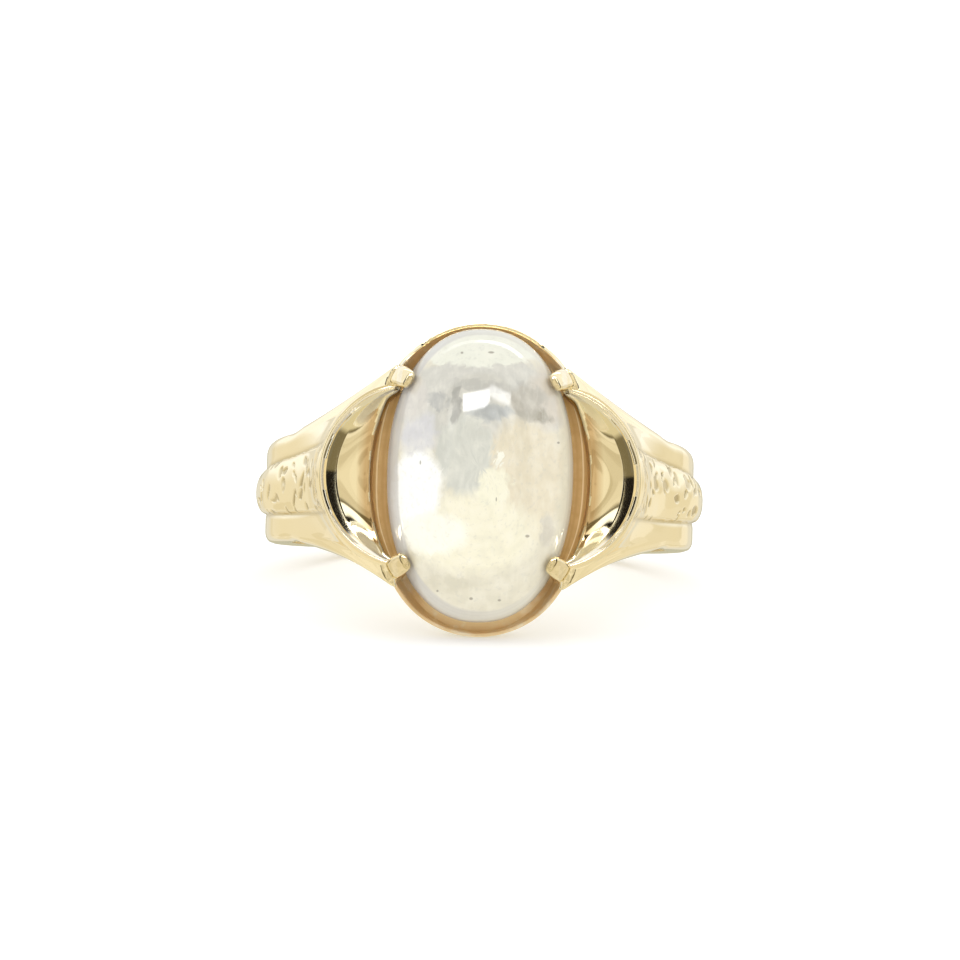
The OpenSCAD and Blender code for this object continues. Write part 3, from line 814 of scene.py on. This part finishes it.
def makeMoonstone():
    # milky body painted with clouds and with painted reflections, whose edges break along small crystal
    # grains, specks, and a clearer ring of painted refraction with growth lines along its edge
    m = moonstone
    p = Paint(bpy.data.materials.new("moonstone"))
    across, along, edge = p.value("across"), p.value("along"), p.value("inFromEdge")
    place = p.joined(across, along, edge)
    grains = p.cells(place, m["grain"])
    drift = p.noise(m["drift"], detail=3.0, place=place)
    x = across + (p.channel(grains, 0) - 0.5) * m["shiver"] + (drift - 0.5) * m["driftAcross"]
    y = along + (p.channel(grains, 1) - 0.5) * m["shiver"] + (drift - 0.5) * m["driftAlong"]
    bent, flat = p.joined(x, y), p.joined(across, along)
    tint = m["body"]
    # the clouds, and the painted reflections of dark shapes and a bright window, laid one over another
    for middle, half, colour, soft in m["cloudsAndReflections"]:
        tint = p.blend(p.oval(bent, middle, half, soft), tint, colour)
    mottle = p.noise(m["mottle"], detail=5.0, place=place)
    (lightSlope, lightLevel), (shadeSlope, shadeLevel) = m["lightFrom"], m["shadeFrom"]
    narrow, long = m["streakScale"]
    streaks = p.noise(1.0, detail=3.0, place=p.joined(across * narrow, along * long, edge))
    flecks = p.noise(m["fleckScale"], detail=4.0, place=place)
    for name, where in (("light", p.clamp(mottle * lightSlope - lightLevel)),
                        ("shade", p.clamp(shadeLevel - mottle * shadeSlope)),
                        ("fleck", p.past(flecks, *m["fleckEdge"])),
                        ("streak", p.past(streaks, *m["streakEdge"]))):
        colour, strength = m[name]
        tint = p.blend(where * strength, tint, colour)
    for middle, half in m["specks"]:
        tint = p.blend(p.oval(flat, middle, half, m["speckSoft"]) * m["speckStrength"], tint, m["speck"])
    # painted refraction: a clearer ring along the edge, greyer at the left and warmer at the right, as
    # the thin edge shows what lies behind it
    inner = edge + (drift - 0.5) * m["edgeDrift"] + across * m["edgeLean"]
    ring = 1 - p.past(inner, m["edgeWidth"], m["edgeSoft"])
    ringTint = p.blend(p.clamp(across * m["edgeTurn"] + 0.5), m["edgeLeft"], m["edgeRight"])
    growth = edge * m["lineRate"] + drift * m["lineDrift"]
    lines = p.past(growth.math("SINE", growth), *m["lineEdge"])
    lineTint, strength = m["line"]
    ringTint = p.blend(lines * strength, ringTint, lineTint)
    tint = p.blend(ring * m["edgeStrength"], tint, ringTint)
    shader = p.node("ShaderNodeBsdfPrincipled", {}, {
        "Base Color": tint, "Roughness": m["roughness"], "IOR": m["ior"],
        "Subsurface Weight": m["scatterPart"], "Subsurface Scale": m["scatterDepth"],
        "Subsurface Radius": (1.0, 0.95, 0.9)})
    p.node("ShaderNodeOutputMaterial", {}, {"Surface": shader})
    return p.owner


for piece, paint, node, slotName in ((mount, makeGold(), "ring_mount", "gold"),
                                     (cabochon, makeMoonstone(), "moonstone", "moonstone")):
    piece.data.materials.clear()
    piece.data.materials.append(paint)
    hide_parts(node)
    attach(piece, "root")
report("materials")


# floor, light and camera

floorHeight, floorHalf = cadBox[0].z, 1.5
viewTilt = restTilt - sightTilt  # how far down the camera looks
viewBack = Vector((0, -math.cos(viewTilt), math.sin(viewTilt)))
viewUp = Vector((0, math.sin(viewTilt), math.cos(viewTilt)))


def makeFloor():  # a wide pale square that the ring lies on
    mesh = bpy.data.meshes.new("floor")
    h = floorHalf
    corners = [(x, y, floorHeight) for x, y in ((-h, -h), (h, -h), (h, h), (-h, h))]
    mesh.from_pydata(corners, [], [(0, 1, 2, 3)])
    floor = bpy.data.objects.new("floor", mesh)
    bpy.context.scene.collection.objects.link(floor)
    p = Paint(bpy.data.materials.new("pale_floor"))
    shader = p.node("ShaderNodeBsdfPrincipled", {}, {
        "Base Color": (0.9, 0.9, 0.9, 1), "Roughness": 0.6, "Specular IOR Level": 0.0,
        "Emission Color": (1, 1, 1, 1), "Emission Strength": 0.25})
    p.node("ShaderNodeOutputMaterial", {}, {"Surface": shader})
    mesh.materials.append(p.owner)
    floor.visible_glossy = False  # the metal mirrors the studio's own lower half instead


studio = {
    "soft": (1.15, 1.15, 1.15, 1.0),  # light that falls on the floor and the stone
    "plain": (1.0, 1.0, 1.0, 1.0),  # what the camera sees past the floor
    # darkest and lightest panels of the tent's lower and upper half, and of the card round the camera
    "tentLow": ((0.80, 0.73, 0.56), (0.97, 0.92, 0.80)),
    "tentHigh": ((1.0, 1.0, 0.99), (1.14, 1.16, 1.20)),
    "card": ((0.61, 0.54, 0.39), (0.93, 0.87, 0.72)), "tentCells": 4.0, "cardCells": 9.0,
    "rear": (0.82, 0.79, 0.70), "farRear": (0.58, 0.55, 0.40),
    "low": (0.72, 0.66, 0.48), "olive": (0.20, 0.17, 0.10), "dark": (0.012, 0.010, 0.008),
    "brown": (0.45, 0.37, 0.24), "box": (1.6, 1.6, 1.55), "lamp": (12.0, 12.0, 12.0),
    "lobe": (8.0, 8.0, 8.0), "strip": (7.0, 7.0, 7.0), "stripEnd": (2.5, 2.5, 2.5),
    # Where each lies: away is in degrees from the camera's direction, up and right are the shares of
    # the direction that point there. Last comes the softness of its edge.
    "cardEndAway": (40, 2), "gapAway": (44, 66, 1.5), "rearAway": (153, 3), "farRearAway": (167, 4),
    "oliveUp": (-0.35, 0.06), "darkUp": (0.1, 0.03), "brownUp": (0.74, 0.04), "tentHighUp": (0.1, 0.14),
    "boxRight": (0.1, 0.6, 0.02), "boxUp": (0.4, 0.64, 0.03), "boxAway": (37, 55, 1.5),
    "barSlope": 0.8, "barRight": (0.76, 0.86, 0.015),  # a dark bar across each box
    "aroundUp": (0.36, 0.8, 0.03), "aroundAway": (34, 48, 1.5),  # olive cloth round the boxes
    "ahead": (0.2, 0.05),  # by the share of the direction that points to the camera
    "lampRight": (-0.31, 0.12, 0.02), "lampUp": (0.65, 0.79, 0.02), "lampSlope": 0.15,
    "lampCorner": (-0.63, 0.03), "cornerSlope": 0.6,
    "lobeRight": (0.12, 0.5, 0.04), "lobeUp": (0.775, 0.865, 0.03), "lobeSlope": 0.286,
    "stripUp": (0.5, 0.1), "stripRight": (-0.5, 0.53, 0.06), "stripAway": (106, 113, 1),
    "stripSlope": 4.0, "stripBright": (0, 0.2),
}


def makeWorld():
    # What the polished metal mirrors, by the angle from the camera's direction: a warm card, a dark
    # gap, then a white tent with lamps in it. Each is laid over the ones before.
    s = studio
    world = bpy.data.worlds.new("studio")
    bpy.context.scene.world = world
    p = Paint(world)
    look = p.node("ShaderNodeTexCoord", {}, {}, "Generated")
    front, up, right = (p.vector("DOT_PRODUCT", look, tuple(d), output="Value")
                        for d in (viewBack, viewUp, (1, 0, 0)))
    away = front.math("ARCCOSINE", front) * (180 / math.pi)
    side = abs(right)

    gap = p.blend(p.past(up, *s["oliveUp"]), s["low"], s["olive"])
    gap = p.blend(p.past(up, *s["darkUp"]), gap, s["dark"])
    gap = p.blend(p.past(up, *s["brownUp"]), gap, s["brown"])
    panel = p.channel(p.cells(look, s["tentCells"]))
    low, high = p.blend(panel, *s["tentLow"]), p.blend(panel, *s["tentHigh"])
    tent = p.blend(p.past(up, *s["tentHighUp"]), low, high)
    tent = p.blend(p.past(away, *s["rearAway"]), tent, s["rear"])
    tent = p.blend(p.past(away, *s["farRearAway"]), tent, s["farRear"])
    seen = p.blend(p.within(away, *s["gapAway"]), tent, gap)
    card = p.blend(p.channel(p.cells(look, s["cardCells"])), *s["card"])
    seen = p.blend(1 - p.past(away, *s["cardEndAway"]), seen, card)

    # two boxes of light, one on each side, that shine at the lower ends of the scoops
    aroundBox = p.within(up, *s["aroundUp"]) * p.within(away, *s["aroundAway"])
    seen = p.blend(aroundBox, seen, s["olive"])
    box = p.within(side, *s["boxRight"]) * p.within(up, *s["boxUp"]) * p.within(away, *s["boxAway"])
    seen = p.blend(box * (1 - p.within(side + up * s["barSlope"], *s["barRight"])), seen, s["box"])

    # the lamp that shows on the stone, its lobe to the right, and a strip that shows as an arc
    ahead = p.past(front, *s["ahead"])
    lobe = p.within(right, *s["lobeRight"]) * ahead
    lobe = lobe * p.within(up + right * s["lobeSlope"], *s["lobeUp"])
    seen = p.blend(lobe, seen, s["lobe"])
    lamp = p.within(right, *s["lampRight"]) * ahead
    lamp = lamp * p.within(up - right * s["lampSlope"], *s["lampUp"])
    lamp = lamp * (1 - p.past(right * s["cornerSlope"] - up, *s["lampCorner"]))
    seen = p.blend(lamp, seen, s["lamp"])
    strip = p.past(up, *s["stripUp"]) * p.within(right, *s["stripRight"])
    strip = strip * p.within(away + right * s["stripSlope"], *s["stripAway"])
    stripTint = p.blend(p.past(right, *s["stripBright"]), s["stripEnd"], s["strip"])
    seen = p.blend(strip, seen, stripTint)

    ray = p.tree.nodes.new("ShaderNodeLightPath")
    isCamera, isGlossy = (Wire(p, ray.outputs[name]) for name in ("Is Camera Ray", "Is Glossy Ray"))
    soft, mirrored, plain = (p.node("ShaderNodeBackground", {}, {"Color": colour})
                             for colour in (s["soft"], seen, s["plain"]))
    around = p.node("ShaderNodeMixShader", {}, {0: isGlossy, 1: soft, 2: mirrored})
    around = p.node("ShaderNodeMixShader", {}, {0: isCamera, 1: around, 2: plain})
    p.node("ShaderNodeOutputWorld", {}, {"Surface": around})


# the picture's width, its scale and how far above the finger hole's middle it is aimed, in pixels,
# its turn in degrees, and the camera's distance in metres and sensor in millimetres
shot = {"width": 960, "perMillimetre": 21.65, "aimedAbove": 19, "roll": 1.2,
        "distance": 0.220, "sensor": 36}


def makeCamera():
    # aimed a little above the finger hole's middle, which stays at the distance given, with the lens
    # that gives the picture's scale there
    pixel = 0.001 / shot["perMillimetre"]
    camera = bpy.data.objects.new("camera", bpy.data.cameras.new("camera"))
    bpy.context.scene.collection.objects.link(camera)
    camera.data.sensor_width = shot["sensor"]
    camera.data.lens = shot["sensor"] * shot["distance"] / (shot["width"] * pixel)
    camera.data.clip_start = 0.01
    place = viewBack * shot["distance"]
    aim = viewUp * (shot["aimedAbove"] * pixel) - place
    aim.normalize()
    right = Vector((1, 0, 0))
    top = right.cross(aim).normalized()
    turn = Matrix((right, top, -aim)).transposed() @ Matrix.Rotation(math.radians(shot["roll"]), 3, "Z")
    camera.matrix_world = Matrix.Translation(place) @ turn.to_4x4()
    bpy.context.scene.camera = camera


makeFloor()
makeWorld()
makeCamera()
bpy.context.scene.view_settings.view_transform = "Standard"
report("stage")
